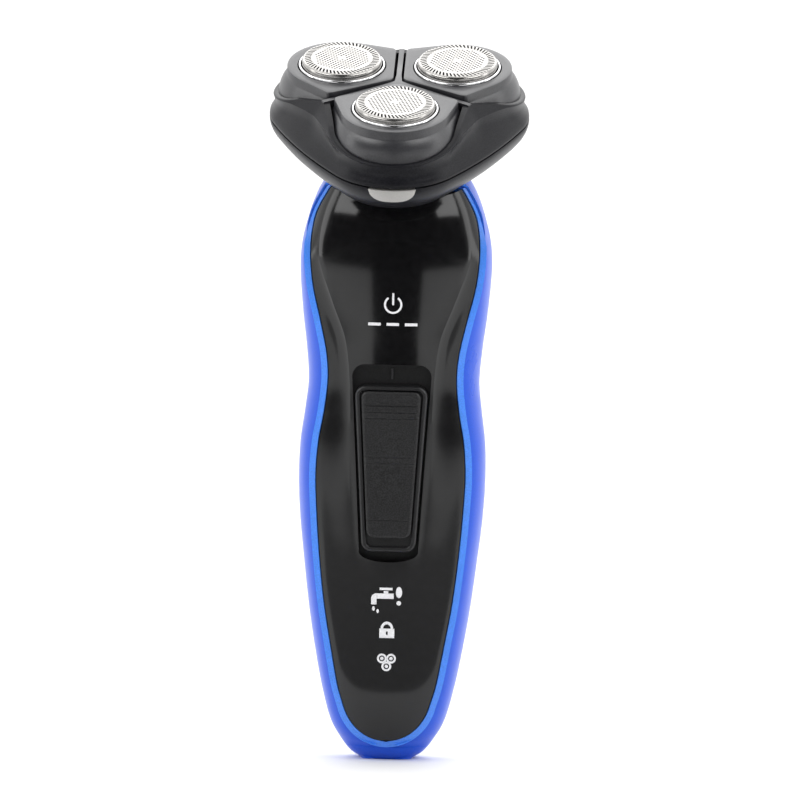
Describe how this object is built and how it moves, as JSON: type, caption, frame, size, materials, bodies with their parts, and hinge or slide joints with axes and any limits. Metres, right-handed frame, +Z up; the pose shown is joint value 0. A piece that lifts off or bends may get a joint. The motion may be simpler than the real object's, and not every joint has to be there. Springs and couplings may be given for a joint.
{
  "type": "rotary electric shaver",
  "caption": "Cordless rotary shaver: slim waisted handle with slide switch and charging socket, forward-leaning flip-open head with floating pods, caps and geared cutters.",
  "frame": {"origin": "middle of the flat lower end face, in the mouth of the charging socket", "axes": "+Z up the handle towards the head, -Y out of the front panel with the switch, +X to the right of someone facing that panel"},
  "size_m": [0.0624, 0.0587, 0.1718],
  "materials": {
    "blue_gloss": "glossy blue body plastic",
    "gloss_black": "mirror-gloss black plastic",
    "matte_black": "fine-grained matte black plastic",
    "grip_rubber": "grained soft black rubber",
    "dark_satin": "dark grey satin plastic with fine spark texture",
    "grey_satin": "mid grey satin plastic with fine spark texture",
    "silver_paint": "silver-grey satin paint",
    "chrome": "polished",
    "foil_steel": "satin perforated steel",
    "bare_steel": "plain bright steel",
    "brass": "plated contact pins",
    "white_plastic": "natural moulded plastic",
    "gear_plastic": "natural acetal",
    "board_green": "lacquered circuit board",
    "cell_sleeve": "shrink sleeve",
    "clear_lens": "frosted clear plastic"
  },
  "bodies": {
    "handle": {"rear_housing": "blue_gloss", "front_panel": "gloss_black", "switch_track": "matte_black", "micro_switch": "matte_black", "circuit_board": "board_green", "inner_chassis": "white_plastic", "chassis_screw_1": "bare_steel", "chassis_screw_2": "bare_steel", "battery_cell": "cell_sleeve", "battery_tab_bottom": "bare_steel", "battery_tab_top": "bare_steel", "light_guide": "clear_lens", "status_led_1": "clear_lens", "status_led_2": "clear_lens", "status_led_3": "clear_lens", "motor_can": "bare_steel", "motor_end_cap": "white_plastic", "neck_collar": "matte_black", "shaft_seal": "grip_rubber", "charging_inlet": "matte_black", "inlet_pin_left": "brass", "inlet_pin_right": "brass", "head_base": "dark_satin", "gear_plate": "white_plastic", "gear_plate_screw_1": "bare_steel", "gear_plate_screw_2": "bare_steel", "gear_plate_screw_3": "bare_steel", "hinge_pin": "bare_steel", "button_spring": "bare_steel"},
    "switch": {"slide_switch": "matte_black", "grip_pad": "grip_rubber", "switch_actuator": "matte_black"},
    "button": {"release_button": "silver_paint"},
    "drive": {"motor_rotor": "bare_steel", "drive_coupling": "white_plastic", "sun_gear": "gear_plastic"},
    "cover": {"head_cover": "dark_satin", "retaining_frame": "white_plastic"},
    "knob": {"retaining_knob": "blue_gloss"},
    "gear_1": {"planet_gear_1": "gear_plastic", "drive_spindle_1": "white_plastic", "spindle_spring_1": "bare_steel"},
    "pod_1": {"shaving_pod_1": "grey_satin", "chrome_ring_1": "chrome"},
    "cap_1": {"cutter_cap_1": "foil_steel"},
    "cutter_1": {"inner_cutter_1": "bare_steel"},
    "gear_2": {"planet_gear_2": "gear_plastic", "drive_spindle_2": "white_plastic", "spindle_spring_2": "bare_steel"},
    "pod_2": {"shaving_pod_2": "grey_satin", "chrome_ring_2": "chrome"},
    "cap_2": {"cutter_cap_2": "foil_steel"},
    "cutter_2": {"inner_cutter_2": "bare_steel"},
    "gear_3": {"planet_gear_3": "gear_plastic", "drive_spindle_3": "white_plastic", "spindle_spring_3": "bare_steel"},
    "pod_3": {"shaving_pod_3": "grey_satin", "chrome_ring_3": "chrome"},
    "cap_3": {"cutter_cap_3": "foil_steel"},
    "cutter_3": {"inner_cutter_3": "bare_steel"}
  },
  "joints": [
    {"name": "switch_slide", "type": "slide", "parent": "handle", "child": "switch", "axis": [0, 0, 1], "range_m": [0, 0.0044]},
    {"name": "button_press", "type": "slide", "parent": "handle", "child": "button", "axis": [0, 0.9336, 0.3584], "range_m": [0, 0.0015], "stiffness_N_per_m": 600, "springref_m": -0.0008, "deforming": ["button_spring"]},
    {"name": "cover_hinge", "type": "hinge", "parent": "handle", "child": "cover", "pos_m": [0, 0.01755, 0.16126], "axis": [-1, 0, 0], "range_deg": [0, 100]},
    {"name": "knob_turn", "type": "hinge", "parent": "cover", "child": "knob", "pos_m": [0, -0.00734, 0.15186], "axis": [0, -0.3584, 0.9336], "range_deg": [0, 90]},
    {"name": "drive_spin", "type": "hinge", "parent": "handle", "child": "drive", "pos_m": [0, -0.00412, 0.14346], "axis": [0, -0.3584, 0.9336], "continuous": true},
    {"name": "gear_spin_1", "type": "hinge", "parent": "handle", "child": "gear_1", "pos_m": [0, -0.01995, 0.14006], "axis": [0, -0.3584, 0.9336], "continuous": true},
    {"name": "pod_tilt_1", "type": "hinge", "parent": "cover", "child": "pod_1", "pos_m": [0, -0.02515, 0.1536], "axis": [1, 0, 0], "range_deg": [-3, 3], "stiffness_Nm_per_rad": 0.1},
    {"name": "cap_float_1", "type": "slide", "parent": "pod_1", "child": "cap_1", "axis": [0, -0.3584, 0.9336], "range_m": [-0.0012, 0], "stiffness_N_per_m": 300, "springref_m": 0.001},
    {"name": "cutter_spin_1", "type": "hinge", "parent": "cap_1", "child": "cutter_1", "pos_m": [0, -0.02622, 0.1564], "axis": [0, -0.3584, 0.9336], "continuous": true},
    {"name": "gear_spin_2", "type": "hinge", "parent": "handle", "child": "gear_2", "pos_m": [0.01386, 0.00246, 0.14866], "axis": [0, -0.3584, 0.9336], "continuous": true},
    {"name": "pod_tilt_2", "type": "hinge", "parent": "cover", "child": "pod_2", "pos_m": [0.01386, -0.00274, 0.1622], "axis": [-0.5, 0.8085, 0.3104], "range_deg": [-3, 3], "stiffness_Nm_per_rad": 0.1},
    {"name": "cap_float_2", "type": "slide", "parent": "pod_2", "child": "cap_2", "axis": [0, -0.3584, 0.9336], "range_m": [-0.0012, 0], "stiffness_N_per_m": 300, "springref_m": 0.001},
    {"name": "cutter_spin_2", "type": "hinge", "parent": "cap_2", "child": "cutter_2", "pos_m": [0.01386, -0.00381, 0.165], "axis": [0, -0.3584, 0.9336], "continuous": true},
    {"name": "gear_spin_3", "type": "hinge", "parent": "handle", "child": "gear_3", "pos_m": [-0.01386, 0.00246, 0.14866], "axis": [0, -0.3584, 0.9336], "continuous": true},
    {"name": "pod_tilt_3", "type": "hinge", "parent": "cover", "child": "pod_3", "pos_m": [-0.01386, -0.00274, 0.1622], "axis": [-0.5, -0.8085, -0.3104], "range_deg": [-3, 3], "stiffness_Nm_per_rad": 0.1},
    {"name": "cap_float_3", "type": "slide", "parent": "pod_3", "child": "cap_3", "axis": [0, -0.3584, 0.9336], "range_m": [-0.0012, 0], "stiffness_N_per_m": 300, "springref_m": 0.001},
    {"name": "cutter_spin_3", "type": "hinge", "parent": "cap_3", "child": "cutter_3", "pos_m": [-0.01386, -0.00381, 0.165], "axis": [0, -0.3584, 0.9336], "continuous": true}
  ],
  "couplings": [
    {"joint": "gear_spin_1", "follows": "drive_spin", "ratio": -0.6},
    {"joint": "cutter_spin_1", "follows": "drive_spin", "ratio": -0.6},
    {"joint": "gear_spin_2", "follows": "drive_spin", "ratio": -0.6},
    {"joint": "cutter_spin_2", "follows": "drive_spin", "ratio": -0.6},
    {"joint": "gear_spin_3", "follows": "drive_spin", "ratio": -0.6},
    {"joint": "cutter_spin_3", "follows": "drive_spin", "ratio": -0.6}
  ]
}
